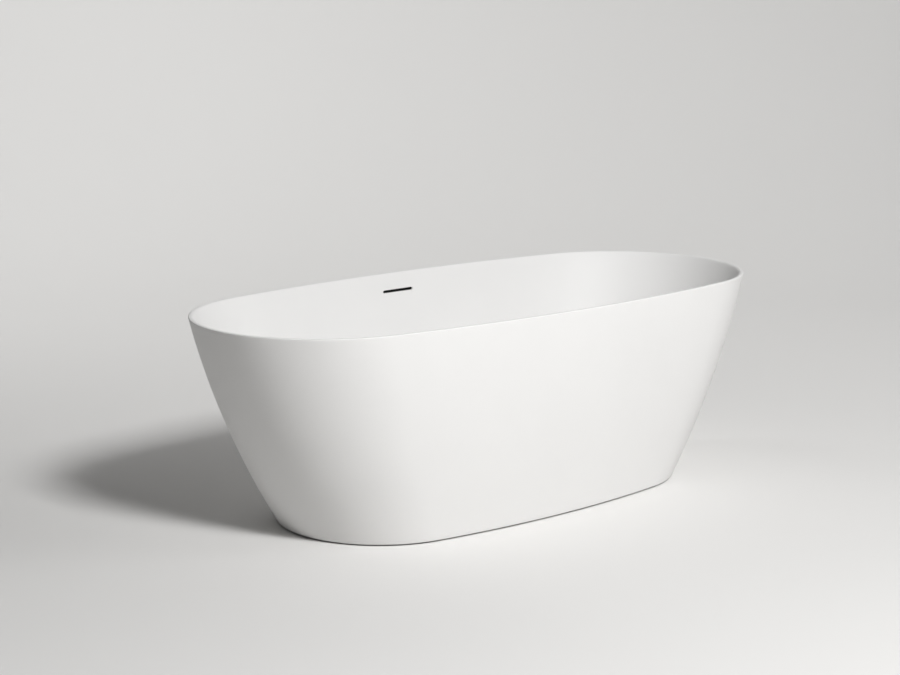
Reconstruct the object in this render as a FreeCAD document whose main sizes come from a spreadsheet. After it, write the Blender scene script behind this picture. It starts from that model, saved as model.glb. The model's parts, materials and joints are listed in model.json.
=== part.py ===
import FreeCAD, Part
import math
import os
import re
import Sketcher

# Freestanding double-skin bath: a thin-rimmed inner bath and an outer skirt on a steel frame with four
# levelling feet, a click waste, a slot overflow and a drum trap. Millimetres. +X runs along the bath,
# +Y towards the overflow side, +Z up. The origin is on the floor under the centre of the bath.

SIZES = {
    # outer shell: four-arc ovals at the rim and at the base, and the bulge of the wall between them
    "rim_half_length": 900, "rim_half_width": 400, "rim_end_radius": 358, "rim_height": 580,
    "base_half_length": 648, "base_half_width": 316, "base_end_radius": 289,
    "outer_bulge": 0.4, "floor_gap": 4, "skirt_wall": 4.5, "lip_depth": 10,
    "rim_outer_round": 3, "rim_inner_round": 5, "flare_overlap": 0.02,
    "rim_width": 12, "base_edge_round": 1.5,
    # inner bath
    "floor_height": 140, "floor_half_length": 585, "floor_half_width": 235, "floor_end_radius": 210,
    "basin_bulge": 0.05, "basin_wall": 6, "floor_skin": 8, "floor_round": 85,
    "recess_radius": 40, "recess_depth": 4, "drain_radius": 26,
    "slot_length": 110, "slot_height": 8, "slot_level": 529, "slot_reach": 60,
    # board and frame
    "board_half_length": 480, "board_half_width": 165, "board_skin": 12, "board_corner": 60,
    "board_hole_radius": 48, "tube_side": 30, "tube_wall": 2, "rail_length": 1040, "rail_offset": 130,
    "crossbar_length": 480, "crossbar_offset": 380, "cap_skin": 3, "cap_plug_depth": 8,
    "screw_radius": 2.5, "screw_clearance": 2.8, "screw_head_radius": 5, "screw_head_depth": 3.5,
    "screw_grip": 8, "screw_span_inner": 170, "screw_span_outer": 450,
    # brackets
    "bracket_width": 30, "bracket_skin": 3, "bracket_height": 34, "bracket_seat": 24,
    "bracket_gap": 1.2, "bracket_screw_radius": 2, "bracket_screw_inset": 12, "bracket_screw_length": 8,
    # levelling feet
    "foot_offset": 205, "pad_radius": 25, "pad_skin": 8, "sole_skin": 3, "hub_radius": 11, "hub_top": 24,
    "stud_radius": 6, "stud_running_gap": 0.05, "stud_bottom": 10, "stud_top": 112, "collar_depth": 8,
    "collar_across": 10, "nut_depth": 10, "nut_across": 10, "bush_radius": 8,
    # click waste, on the Z axis
    "flange_radius": 36, "flange_skin": 3, "throat_radius": 21, "spigot_radius": 23.5,
    "spigot_length": 26, "seal_skin": 1, "web_skin": 4, "web_arm_width": 4, "hub_outer_radius": 13,
    "cartridge_radius": 10, "cartridge_bore": 8.2, "cartridge_bottom": 103, "cartridge_top": 133,
    "cartridge_shoulder": 12, "cartridge_end_skin": 2.5, "stem_radius": 4, "piston_radius": 8,
    "piston_bottom": 117, "piston_depth": 3, "plug_radius": 30, "plug_skin": 5, "plug_seal_skin": 1.2,
    "plug_seal_outer": 27, "plug_seal_inner": 18, "plug_boss_radius": 7, "plug_boss_depth": 4,
    "spring_radius": 6.8, "spring_wire": 0.6, "spring_pitch": 3.2,
    "body_seal_skin": 4, "body_flange_radius": 38, "body_flange_skin": 6, "body_radius": 28,
    "body_bore": 23.6, "body_bottom": 50, "body_floor_skin": 3, "waste_level": 70,
    "outlet_radius": 20, "outlet_bore": 17.5, "body_outlet_reach": 70,
    "inlet_radius": 11, "inlet_bore": 9, "inlet_reach": 60,
    # overflow
    "chamber_half_width": 68, "chamber_skin": 1.8, "chamber_top": 541, "chamber_bottom": 440,
    "chamber_clearance": 1.5, "chamber_spigot_length": 28, "gasket_margin": 6, "gasket_gap": 0.25,
    "gasket_slack": 0.3, "mouth_reach": 10,
    "hose_offset": 360.3, "hose_radius": 14, "hose_top": 432, "hose_top_run": 24, "hose_top_bend": 150,
    "hose_low_bend": 85, "hose_low_run": 130, "hose_end": 40,
    "clamp_skin": 1.2, "clamp_width": 9, "clamp_inset": 6,
    # drum trap
    "drum_centre": 135, "drum_radius": 50, "drum_skin": 3, "drum_bottom": 14, "drum_top": 98,
    "lid_skin": 6, "lid_radius": 54, "lid_seal_wire": 1.5, "baffle_skin": 3, "baffle_lift": 24,
    "collar_radius": 25, "collar_bore": 20.2, "collar_reach": 66, "union_seal_skin": 4,
    "nut_wall": 5, "union_nut_length": 18, "union_nut_end": 3, "nut_clearance": 0.3, "baffle_gap": 0.3,
    "trap_outlet_reach": 230, "outlet_stop": 190, "outlet_stop_skin": 3,
}

doc = FreeCAD.newDocument("FreestandingBath")
sheet = doc.addObject("Spreadsheet::Sheet", "Sizes")
for row, (alias, number) in enumerate(SIZES.items(), start=1):
    sheet.set(f"A{row}", alias)
    sheet.set(f"B{row}", str(number))
    sheet.setAlias(f"B{row}", alias)
doc.recompute()

pieces = []  # every sub-part, in the order in which it is made


# ---- expressions ---------------------------------------------------------------------------------------

def cells(formula):
    """The formula with each size's name turned into a reference to its cell."""
    return re.sub(r"\b([a-z]+(?:_[a-z]+)+)\b", r"Sizes.\1", str(formula))


def value(formula):
    """What the formula comes to."""
    return float(sheet.evalExpression(cells(formula)))


def bind(item, prop, formula):
    item.setExpression(prop, cells(formula))


# ---- bodies, sketches and features ---------------------------------------------------------------------

def new_body(label):
    body = doc.addObject("PartDesign::Body", label)
    body.Label = label
    pieces.append(body)
    return body


def new_sketch(body, name, plane, level):
    """A sketch on one of the body's origin planes, moved along the plane's normal by level."""
    sketch = body.newObject("Sketcher::SketchObject", name)
    face = next(item for item in body.Origin.OriginFeatures if item.Role == plane)
    sketch.AttachmentSupport = [(face, "")]
    sketch.MapMode = "FlatFace"
    bind(sketch, "AttachmentOffset.Base.z", level)
    return sketch


def fix(sketch, kind, target, formula):
    """A dimension of the sketch bound to a formula. Zero offsets become alignments with the origin."""
    number = value(formula)
    if kind.startswith("Distance") and abs(number) < 1e-9:
        side = "Vertical" if kind == "DistanceX" else "Horizontal"
        sketch.addConstraint(Sketcher.Constraint(side, *target))
        return
    index = sketch.addConstraint(Sketcher.Constraint(kind, *target, number))
    sketch.setExpression(f"Constraints[{index}]", cells(formula))


def circle(sketch, radius, centre=("0", "0")):
    x, y = (value(part) for part in centre)
    shape = Part.Circle(FreeCAD.Vector(x, y, 0), FreeCAD.Vector(0, 0, 1), value(radius))
    index = sketch.addGeometry(shape, False)
    fix(sketch, "Radius", (index,), radius)
    fix(sketch, "DistanceX", (-1, 1, index, 3), centre[0])
    fix(sketch, "DistanceY", (-1, 1, index, 3), centre[1])


def polygon(sketch, corners):
    """A closed outline whose corners are each held by two distances from the origin."""
    points = [FreeCAD.Vector(value(x), value(y), 0) for x, y in corners]
    first = sketch.GeometryCount
    count = len(points)
    for index, point in enumerate(points):
        sketch.addGeometry(Part.LineSegment(point, points[(index + 1) % count]), False)
    for index in range(count):
        after = first + (index + 1) % count
        sketch.addConstraint(Sketcher.Constraint("Coincident", first + index, 2, after, 1))
    for index, (x, y) in enumerate(corners):
        fix(sketch, "DistanceX", (-1, 1, first + index, 1), x)
        fix(sketch, "DistanceY", (-1, 1, first + index, 1), y)


def rectangle(sketch, low_x, high_x, low_y, high_y):
    polygon(sketch, [(low_x, low_y), (high_x, low_y), (high_x, high_y), (low_x, high_y)])


def oval(sketch, half_length, half_width, end_radius):
    """A four-arc oval: two end arcs and two flat side arcs that meet them smoothly."""
    centre = f"(({half_length}) - ({end_radius}))"
    side = f"(({centre}^2 + ({half_width})^2 - ({end_radius})^2) / (2 * (({half_width}) - ({end_radius}))))"
    reach = f"({side} - ({end_radius}))"
    meet_x = f"({centre} + ({end_radius}) * {centre} / {reach})"
    meet_y = f"(({end_radius}) * ({side} - ({half_width})) / {reach})"
    corner_x, corner_y, drop = value(meet_x), value(meet_y), value(f"{side} - ({half_width})")
    middle, end, flat = value(centre), value(end_radius), value(side)
    turn = math.atan2(drop, middle)
    arcs = [((middle, 0), end, -turn, turn), ((0, -drop), flat, turn, math.pi - turn),
            ((-middle, 0), end, math.pi - turn, math.pi + turn),
            ((0, drop), flat, math.pi + turn, 2 * math.pi - turn)]
    for (x, y), radius, start, finish in arcs:
        whole = Part.Circle(FreeCAD.Vector(x, y, 0), FreeCAD.Vector(0, 0, 1), radius)
        sketch.addGeometry(Part.ArcOfCircle(whole, start, finish), False)
    for index, (sign_x, sign_y) in enumerate(((1, 1), (-1, 1), (-1, -1), (1, -1))):
        sketch.addConstraint(Sketcher.Constraint("Coincident", index, 2, (index + 1) % 4, 1))
        fix(sketch, "DistanceX", (-1, 1, index, 2), f"{sign_x} * {meet_x}")
        fix(sketch, "DistanceY", (-1, 1, index, 2), f"{sign_y} * {meet_y}")
        fix(sketch, "Radius", (index,), side if index % 2 else end_radius)


def slot_outline(sketch, length, height, level):
    """A slot with round ends, its long side level, at a height in an upright sketch."""
    reach, radius, z = value(f"({length}) / 2 - ({height}) / 2"), value(f"({height}) / 2"), value(level)
    up = FreeCAD.Vector(0, 0, 1)
    right = Part.Circle(FreeCAD.Vector(reach, z, 0), up, radius)
    left = Part.Circle(FreeCAD.Vector(-reach, z, 0), up, radius)
    quarter = math.pi / 2
    sketch.addGeometry(Part.ArcOfCircle(right, -quarter, quarter), False)
    sketch.addGeometry(Part.LineSegment(FreeCAD.Vector(reach, z + radius, 0),
                                        FreeCAD.Vector(-reach, z + radius, 0)), False)
    sketch.addGeometry(Part.ArcOfCircle(left, quarter, 3 * quarter), False)
    sketch.addGeometry(Part.LineSegment(FreeCAD.Vector(-reach, z - radius, 0),
                                        FreeCAD.Vector(reach, z - radius, 0)), False)
    for index in range(4):
        sketch.addConstraint(Sketcher.Constraint("Tangent", index, 2, (index + 1) % 4, 1))
    sketch.addConstraint(Sketcher.Constraint("Horizontal", 1))
    fix(sketch, "Radius", (0,), f"({height}) / 2")
    for index, sign in ((0, ""), (2, "-")):
        fix(sketch, "DistanceX", (-1, 1, index, 3), f"{sign}(({length}) / 2 - ({height}) / 2)")
    fix(sketch, "DistanceY", (-1, 1, 0, 3), level)


def extrude(body, kind, sketch, length, backwards=False):
    """A Pad or a Pocket. A Pocket has to take something away."""
    doc.recompute()
    before = body.Shape.Volume if kind == "Pocket" else 0
    feature = body.newObject(f"PartDesign::{kind}", f"{kind}_{sketch.Name}")
    feature.Profile = sketch
    bind(feature, "Length", length)
    feature.Reversed = backwards
    doc.recompute()
    if kind == "Pocket" and body.Shape.Volume > before - 1e-3:
        raise ValueError(f"{body.Label}: {feature.Name} takes nothing away, {feature.State}")
    return feature


def disc(body, kind, radius, low, high, centre=("0", "0"), plane="XY_Plane"):
    """A round Pad or Pocket from low to high along the plane's axis: Z, X, or Y for XZ_Plane."""
    name = f"circle_{len(body.Group)}"
    start = f"-({low})" if plane == "XZ_Plane" else low
    sketch = new_sketch(body, name, plane, start)
    circle(sketch, radius, centre)
    along_normal = plane != "XZ_Plane"
    backwards = along_normal if kind == "Pocket" else not along_normal
    return extrude(body, kind, sketch, f"({high}) - ({low})", backwards)


def block(body, kind, sides, low, high, plane="XY_Plane"):
    """A rectangular Pad or Pocket from low to high, sides being low and high along each sketch axis."""
    name = f"rectangle_{len(body.Group)}"
    start = f"-({low})" if plane == "XZ_Plane" else low
    sketch = new_sketch(body, name, plane, start)
    rectangle(sketch, *sides)
    along_normal = plane != "XZ_Plane"
    backwards = along_normal if kind == "Pocket" else not along_normal
    return extrude(body, kind, sketch, f"({high}) - ({low})", backwards)


def washer(label, outer, inner, low, high, centre=("0", "0"), plane="XY_Plane"):
    body = new_body(label)
    disc(body, "Pad", outer, low, high, centre, plane)
    disc(body, "Pocket", inner, low, high, centre, plane)
    return body


def edges_where(feature, wanted):
    """Names of the feature's edges whose two ends and middle all satisfy wanted."""
    names = []
    for index, edge in enumerate(feature.Shape.Edges, start=1):
        middle = edge.valueAt((edge.FirstParameter + edge.LastParameter) / 2)
        points = [vertex.Point for vertex in edge.Vertexes] + [middle]
        if all(wanted(point) for point in points):
            names.append(f"Edge{index}")
    return names


def round_edges(body, wanted, radius):
    doc.recompute()
    base = body.Tip
    names = edges_where(base, wanted)
    if not names:
        raise ValueError(f"{body.Label}: no edges to round")
    fillet = body.newObject("PartDesign::Fillet", f"Round_{len(body.Group)}")
    fillet.Base = (base, names)
    bind(fillet, "Radius", radius)
    doc.recompute()
    return fillet


def at_level(level):
    height = value(level)
    return lambda point: abs(point.z - height) < 0.01


def facing_arc(x, y, sizes):
    """Centre and radius of the arc of a four-arc oval that a point faces."""
    length, width, end = sizes
    centre = length - end
    side = (centre ** 2 + width ** 2 - end ** 2) / (2 * (width - end))
    meet = math.atan2(side - width, centre)
    if abs(x) > centre and math.atan2(abs(y), abs(x) - centre) < meet:
        return math.copysign(centre, x), 0.0, end
    return 0.0, math.copysign(side - width, -y), side


def inward_distance(x, y, sizes):
    """How far inside a four-arc oval a point lies, square to its outline."""
    centre_x, centre_y, radius = facing_arc(x, y, sizes)
    return radius - math.hypot(x - centre_x, y - centre_y)


def on_outline(level, sizes, slack=0.2):
    """Whether a point lies at a level and on a four-arc oval."""
    level_test = at_level(level)
    return lambda p: level_test(p) and abs(inward_distance(p.x, p.y, sizes)) < slack


# ---- the lofted walls ----------------------------------------------------------------------------------

OUTER = [("base_half_length", "rim_half_length"), ("base_half_width", "rim_half_width"),
         ("base_end_radius", "rim_end_radius")]
INNER = [("floor_half_length", "(rim_half_length - rim_width)"),
         ("floor_half_width", "(rim_half_width - rim_width)"),
         ("floor_end_radius", "(rim_end_radius - rim_width)")]
WALL_SHARES = ("0", "1 / 4", "1 / 2", "3 / 4", "1")
FAR = "(2 * rim_half_length)"  # a reach past every side of the bath
ROUND_STEPS = 6  # sections in the quarter turn from the floor of the bath to its wall
FLARE_STEPS = 4  # and in the quarter turn from the wall to the flat of the rim


def wall_size(low, high, share, bulge, growth):
    """A size of the wall part-way up it: a straight blend of low and high, plus the bulge."""
    lean = f"(({share}) + {bulge} * ({share}) * (1 - ({share})))"
    return f"({low}) + (({high}) - ({low})) * {lean} + ({growth})"


def wall_loft(body, kind, name, family, bulge, span, stations):
    """A loft through the wall's ovals; each station is a level and how much its oval is widened."""
    sketches = []
    for index, (level, growth) in enumerate(stations):
        sketch = new_sketch(body, f"{name}_{index}", "XY_Plane", level)
        share = wall_share(level, *span)
        oval(sketch, *[wall_size(low, high, share, bulge, growth) for low, high in family])
        sketches.append(sketch)
    doc.recompute()
    loft = body.newObject(f"PartDesign::{kind}Loft", name)
    loft.Profile = sketches[0]
    loft.Sections = sketches[1:]
    doc.recompute()
    return loft


def outer_loft(body, kind, name, growth):
    """The outside of the bath from the shadow gap to the rim, or a parallel of it."""
    span = ("floor_gap", "rim_height")
    stations = [(f"(floor_gap + (rim_height - floor_gap) * {share})", growth) for share in WALL_SHARES]
    return wall_loft(body, kind, name, OUTER, "outer_bulge", span, stations)


def inner_lofts(body, kind, name, side_skin, floor_skin):
    """The inside of the bath, or the outside of a skin of that thickness: rounded floor, then wall."""
    span = ("floor_height", "rim_height")
    round_top = "(floor_height + floor_round)"
    rounded = []
    for step in range(ROUND_STEPS + 1):
        turn = f"{90 * step / ROUND_STEPS} deg"
        level = f"({round_top} - (floor_round + {floor_skin}) * cos({turn}))"
        rounded.append((level, f"{side_skin} - (floor_round + {side_skin}) * (1 - sin({turn}))"))
    walls = [(f"({round_top} + (rim_height - {round_top}) * {share})", side_skin)
             for share in WALL_SHARES]
    wall_loft(body, kind, f"{name}_floor", INNER, "basin_bulge", span, rounded)
    wall_loft(body, kind, f"{name}_wall", INNER, "basin_bulge", span, walls)


def wall_share(level, bottom, top):
    return f"((({level}) - ({bottom})) / (({top}) - ({bottom})))"


def outer_half_width(level):
    share = wall_share(level, "floor_gap", "rim_height")
    return wall_size("base_half_width", "rim_half_width", share, "outer_bulge", "0")


def inner_half_width(level):
    share = wall_share(level, "floor_height", "rim_height")
    return wall_size("floor_half_width", "(rim_half_width - rim_width)", share, "basin_bulge", "0")


def rim_flare(body):
    """The rounded inner edge of the rim: a shallow loft that opens out to the flat of the rim."""
    span = ("floor_height", "rim_height")
    stations = []
    for step in range(FLARE_STEPS + 1):
        turn = f"{90 * step / FLARE_STEPS} deg"
        level = f"(rim_height - rim_inner_round * (1 - sin({turn})))"
        stations.append((level, f"rim_inner_round * (1 - cos({turn})) - flare_overlap"))
    return wall_loft(body, "Subtractive", "rim_flare", INNER, "basin_bulge", span, stations)


def make_outer_skirt():
    """The outer shell, from the shadow gap up to the underside of the rim."""
    body = new_body("outer_skirt")
    outer_loft(body, "Additive", "skirt_outside", "0")
    outer_loft(body, "Subtractive", "skirt_inside", "-skirt_wall")
    block(body, "Pocket", (f"-{FAR}", FAR, f"-{FAR}", FAR), "rim_height - lip_depth", "rim_height + 1")
    outline = [value(low) for low, _ in OUTER]
    round_edges(body, on_outline("floor_gap", outline), "base_edge_round")


def make_basin_shell():
    """The inner bath: rim lip, sloping walls, rounded floor, overflow slot, drain recess and hole."""
    body = new_body("basin_shell")
    outer_loft(body, "Additive", "lip_outside", "0")
    block(body, "Pocket", (f"-{FAR}", FAR, f"-{FAR}", FAR), "floor_gap - 1", "rim_height - lip_depth")
    inner_lofts(body, "Additive", "basin_outside", "basin_wall", "floor_skin")
    inner_lofts(body, "Subtractive", "basin_inside", "0", "0")
    round_edges(body, on_outline("rim_height", [value(high) for _, high in OUTER]), "rim_outer_round")
    rim_flare(body)
    disc(body, "Pocket", "recess_radius", "floor_height - recess_depth", "floor_height + 1")
    disc(body, "Pocket", "drain_radius", "floor_height - floor_skin - 1", "floor_height")
    start = f"-({inner_half_width('slot_level')} - slot_reach / 2)"
    sketch = new_sketch(body, "overflow_slot", "XZ_Plane", start)
    slot_outline(sketch, "slot_length", "slot_height", "slot_level")
    extrude(body, "Pocket", sketch, "slot_reach")


# ---- board and frame -----------------------------------------------------------------------------------

BOARD_LOW = "(floor_height - floor_skin - board_skin)"
RAIL_LOW = f"({BOARD_LOW} - tube_side)"
BAR_LOW = f"({RAIL_LOW} - tube_side)"
SIGNS = (-1, 1)
SCREW_SPOTS = [(f"{sx} * {span}", f"{sy} * rail_offset") for sy in SIGNS for sx in SIGNS
               for span in ("screw_span_inner", "screw_span_outer")]


def make_base_board():
    body = new_body("base_board")
    sides = ("-board_half_length", "board_half_length", "-board_half_width", "board_half_width")
    block(body, "Pad", sides, BOARD_LOW, f"{BOARD_LOW} + board_skin")
    length, width = value("board_half_length"), value("board_half_width")
    round_edges(body, lambda p: abs(abs(p.x) - length) < 0.01 and abs(abs(p.y) - width) < 0.01,
                "board_corner")
    disc(body, "Pocket", "board_hole_radius", f"{BOARD_LOW} - 1", f"{BOARD_LOW} + board_skin + 1")
    for spot in SCREW_SPOTS:
        disc(body, "Pocket", "screw_radius", f"{BOARD_LOW} - 1", f"{BOARD_LOW} + screw_grip", spot)


def make_rail(label, side):
    """A square tube along the bath, drilled for the board screws."""
    body = new_body(label)
    centre = f"({side} * rail_offset)"
    for kind, inset in (("Pad", "0"), ("Pocket", "tube_wall")):
        sides = (f"{centre} - tube_side / 2 + {inset}", f"{centre} + tube_side / 2 - {inset}",
                 f"{RAIL_LOW} + {inset}", f"{RAIL_LOW} + tube_side - {inset}")
        block(body, kind, sides, "-rail_length / 2", "rail_length / 2", "YZ_Plane")
    for x, y in SCREW_SPOTS:
        if value(y) * side > 0:
            disc(body, "Pocket", "screw_clearance", f"{RAIL_LOW} - 1", f"{RAIL_LOW} + tube_side + 1", (x, y))
    drill_for_bracket_screws(body, BOARD_LOW, lambda x, y: y * side > 0)


def make_crossbar(label, side):
    """A square tube across the bath under the rails, bored through for its two foot bushes."""
    body = new_body(label)
    centre = f"({side} * crossbar_offset)"
    for kind, inset in (("Pad", "0"), ("Pocket", "tube_wall")):
        sides = (f"{centre} - tube_side / 2 + {inset}", f"{centre} + tube_side / 2 - {inset}",
                 f"{BAR_LOW} + {inset}", f"{BAR_LOW} + tube_side - {inset}")
        block(body, kind, sides, "-crossbar_length / 2", "crossbar_length / 2", "XZ_Plane")
    for sign in SIGNS:
        spot = (centre, f"{sign} * foot_offset")
        disc(body, "Pocket", "bush_radius", f"{BAR_LOW} - 1", f"{BAR_LOW} + tube_side + 1", spot)
    drill_for_bracket_screws(body, RAIL_LOW, lambda x, y: x * side > 0)


def solid_box(name, low_x, low_y, low_z, length, width, height):
    box = doc.addObject("Part::Box", name)
    for prop, formula in (("Length", length), ("Width", width), ("Height", height),
                          ("Placement.Base.x", low_x), ("Placement.Base.y", low_y),
                          ("Placement.Base.z", low_z)):
        bind(box, prop, formula)
    return box


def solid_cylinder(name, radius, x, y, low, height):
    cylinder = doc.addObject("Part::Cylinder", name)
    for prop, formula in (("Radius", radius), ("Height", height), ("Placement.Base.x", x),
                          ("Placement.Base.y", y), ("Placement.Base.z", low)):
        bind(cylinder, prop, formula)
    return cylinder


def solid_hexagon(name, corner_radius, x, y, low, height):
    prism = doc.addObject("Part::Prism", name)
    prism.Polygon = 6
    for prop, formula in (("Circumradius", corner_radius), ("Height", height), ("Placement.Base.x", x),
                          ("Placement.Base.y", y), ("Placement.Base.z", low)):
        bind(prism, prop, formula)
    return prism


def combine(kind, name, first, second):
    result = doc.addObject(f"Part::{kind}", name)
    result.Base = first
    result.Tool = second
    return result


def group(label, members):
    """One sub-part made of identical separate pieces."""
    compound = doc.addObject("Part::Compound", label)
    compound.Label = label
    compound.Links = members
    pieces.append(compound)
    return compound


def make_tube_end_caps():
    """A square plastic plug in each end of the four tubes."""
    caps = []
    snug = "(tube_side - 2 * tube_wall)"
    for index, (along, end, offset, low) in enumerate(
            [("x", end, f"{side} * rail_offset", RAIL_LOW) for side in SIGNS for end in SIGNS]
            + [("y", end, f"{side} * crossbar_offset", BAR_LOW) for side in SIGNS for end in SIGNS]):
        half = "rail_length / 2" if along == "x" else "crossbar_length / 2"
        plate_start = f"{end} * ({half} + cap_skin / 2) - cap_skin / 2"
        plug_start = f"{end} * ({half} - cap_plug_depth / 2) - cap_plug_depth / 2"
        across, inner = f"{offset} - tube_side / 2", f"{offset} - {snug} / 2"
        if along == "x":
            plate = solid_box(f"cap_plate_{index}", plate_start, across, low,
                              "cap_skin", "tube_side", "tube_side")
            plug = solid_box(f"cap_plug_{index}", plug_start, inner, f"{low} + tube_wall",
                             "cap_plug_depth", snug, snug)
        else:
            plate = solid_box(f"cap_plate_{index}", across, plate_start, low,
                              "tube_side", "cap_skin", "tube_side")
            plug = solid_box(f"cap_plug_{index}", inner, plug_start, f"{low} + tube_wall",
                             snug, "cap_plug_depth", snug)
        caps.append(combine("Fuse", f"cap_{index}", plate, plug))
    group("tube_end_caps", caps)


def make_board_screws():
    """Hexagon screws up through the rails into the board."""
    screws = []
    for index, (x, y) in enumerate(SCREW_SPOTS):
        head = solid_hexagon(f"board_screw_head_{index}", "screw_head_radius", x, y,
                             f"{RAIL_LOW} - screw_head_depth", "screw_head_depth")
        shank = solid_cylinder(f"board_screw_shank_{index}", "screw_radius", x, y, RAIL_LOW,
                               "tube_side + screw_grip")
        screws.append(combine("Fuse", f"board_screw_{index}", head, shank))
    group("board_screws", screws)


# ---- brackets between frame and skirt ------------------------------------------------------------------

def skirt_oval(level):
    """Half-length, half-width and end radius of the skirt's inside at a level."""
    share = wall_share(level, "floor_gap", "rim_height")
    return [value(wall_size(low, high, share, "outer_bulge", "-skirt_wall")) for low, high in OUTER]


def skirt_distance(x, y, level):
    """How far a point is from the skirt's inside, measured level and square to the skirt."""
    return inward_distance(x, y, skirt_oval(level))


def bracket_spots():
    """Each bracket's name, tube end, tube top and screw: four on the crossbars and four on the rails."""
    spots = []
    bar_end, rail_end = value("crossbar_length / 2"), value("rail_length / 2")
    inset = value("bracket_screw_inset")
    for side, side_name in ((-1, "front"), (1, "back")):
        for end, end_name in ((-1, "left"), (1, "right")):
            x = end * value("crossbar_offset")
            spots.append((f"skirt_bracket_{side_name}_{end_name}", (x, side * bar_end), RAIL_LOW,
                          (x, side * (bar_end - inset))))
            y = side * value("rail_offset")
            spots.append((f"skirt_bracket_end_{side_name}_{end_name}", (end * rail_end, y), BOARD_LOW,
                          (end * (rail_end - inset), y)))
    return spots


def bracket_place(x, y, level):
    """The bracket's own frame: at the tube's end, +X square to the skirt."""
    centre_x, centre_y, _ = facing_arc(x, y, skirt_oval(value(level)))
    turn = math.degrees(math.atan2(y - centre_y, x - centre_x))
    return FreeCAD.Placement(FreeCAD.Vector(x, y, value(level)), FreeCAD.Rotation(turn, 0, 0))


def make_bracket(label, tube_end, level, screw):
    """A bent strip: a seat on the tube, and a leg that leans along the inside of the skirt."""
    body = new_body(label)
    top = f"{level} + bracket_height"
    reach = skirt_distance(*tube_end, value(level)) - value("bracket_gap")
    top_reach = skirt_distance(*tube_end, value(top)) - value("bracket_gap")
    sketch = new_sketch(body, "strip", "XZ_Plane", "-bracket_width / 2")
    polygon(sketch, [("-bracket_seat", "0"), (f"{reach}", "0"), (f"{top_reach}", "bracket_height"),
                     (f"{top_reach} - bracket_skin", "bracket_height"),
                     (f"{reach} - bracket_skin", "bracket_skin"), ("-bracket_seat", "bracket_skin")])
    extrude(body, "Pad", sketch, "bracket_width")
    place = bracket_place(*tube_end, level)
    hole = place.inverse().multVec(FreeCAD.Vector(*screw, value(level)))
    disc(body, "Pocket", "bracket_screw_radius", "-1", "bracket_skin + 1", (str(hole.x), str(hole.y)))
    body.Placement = place


def make_brackets():
    screws = []
    for index, (label, tube_end, level, screw) in enumerate(bracket_spots()):
        make_bracket(label, tube_end, level, screw)
        top = f"{level} + bracket_skin"
        head = solid_hexagon(f"bracket_screw_head_{index}", "screw_head_radius", *screw, top,
                             "screw_head_depth")
        shank = solid_cylinder(f"bracket_screw_shank_{index}", "bracket_screw_radius", *screw,
                               f"{top} - bracket_screw_length", "bracket_screw_length")
        screws.append(combine("Fuse", f"bracket_screw_{index}", head, shank))
    group("bracket_screws", screws)


def drill_for_bracket_screws(body, tube_top, wanted):
    """Holes in a tube's top wall under the bracket screws that stand over it."""
    for _, _, level, screw in bracket_spots():
        if level == tube_top and wanted(*screw):
            spot = (str(screw[0]), str(screw[1]))
            disc(body, "Pocket", "bracket_screw_radius", f"{level} - tube_wall - 1", f"{level} + 1", spot)


# ---- levelling feet ------------------------------------------------------------------------------------

FEET = [("front_left", -1, -1), ("front_right", 1, -1), ("back_left", -1, 1), ("back_right", 1, 1)]
COLLAR_TOP = f"({BAR_LOW} - nut_depth)"


def foot_spot(end, side):
    return f"{end} * crossbar_offset", f"{side} * foot_offset"


def hexagon(sketch, across_corners, centre):
    """A hexagon outline, its corners at across_corners from the centre."""
    x, y = centre
    polygon(sketch, [(f"{x} + {across_corners} * {math.cos(math.radians(60 * k)):.9f}",
                      f"{y} + {across_corners} * {math.sin(math.radians(60 * k)):.9f}") for k in range(6)])


def make_foot(name, end, side):
    """A rubber sole, a plastic pad with a socket, and the threaded stud that turns in the socket."""
    spot = foot_spot(end, side)
    sole = new_body(f"foot_sole_{name}")
    disc(sole, "Pad", "pad_radius", "0", "sole_skin", spot)
    pad = new_body(f"foot_pad_{name}")
    disc(pad, "Pad", "pad_radius - 1", "sole_skin", "sole_skin + pad_skin", spot)
    disc(pad, "Pad", "hub_radius", "sole_skin", "hub_top", spot)
    disc(pad, "Pocket", "stud_radius + stud_running_gap", "stud_bottom", "hub_top + 1", spot)
    stud = new_body(f"foot_stud_{name}")
    disc(stud, "Pad", "stud_radius", "stud_bottom", "stud_top", spot)
    sketch = new_sketch(stud, "collar", "XY_Plane", f"{COLLAR_TOP} - collar_depth")
    hexagon(sketch, "collar_across", spot)
    extrude(stud, "Pad", sketch, "collar_depth")


def ring_solid(name, outer, inner, spot, low, height, six_sided=False):
    """A separate ring, or a nut when its outside is six-sided."""
    shape = solid_hexagon if six_sided else solid_cylinder
    outside = shape(f"{name}_outside", outer, *spot, low, height)
    inside = solid_cylinder(f"{name}_inside", inner, *spot, f"{low} - 1", f"{height} + 2")
    return combine("Cut", name, outside, inside)


def make_foot_hardware():
    """The bushes in the crossbars and the lock nuts under them."""
    bore = "stud_radius + stud_running_gap"
    spots = [foot_spot(end, side) for _, end, side in FEET]
    group("foot_bushes", [ring_solid(f"bush_{index}", "bush_radius", bore, spot, BAR_LOW, "tube_side")
                          for index, spot in enumerate(spots)])
    group("foot_lock_nuts", [ring_solid(f"lock_nut_{index}", "nut_across", bore, spot, COLLAR_TOP,
                                        "nut_depth", six_sided=True) for index, spot in enumerate(spots)])


# ---- click waste ---------------------------------------------------------------------------------------

RECESS = "(floor_height - recess_depth)"
FLANGE_LOW = f"({RECESS} + seal_skin)"
FLANGE_TOP = f"({FLANGE_LOW} + flange_skin)"
WEB_LOW = f"({FLANGE_LOW} - spigot_length)"
UNDERSIDE = "(floor_height - floor_skin)"
BODY_TOP = f"({UNDERSIDE} - body_seal_skin)"


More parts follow.
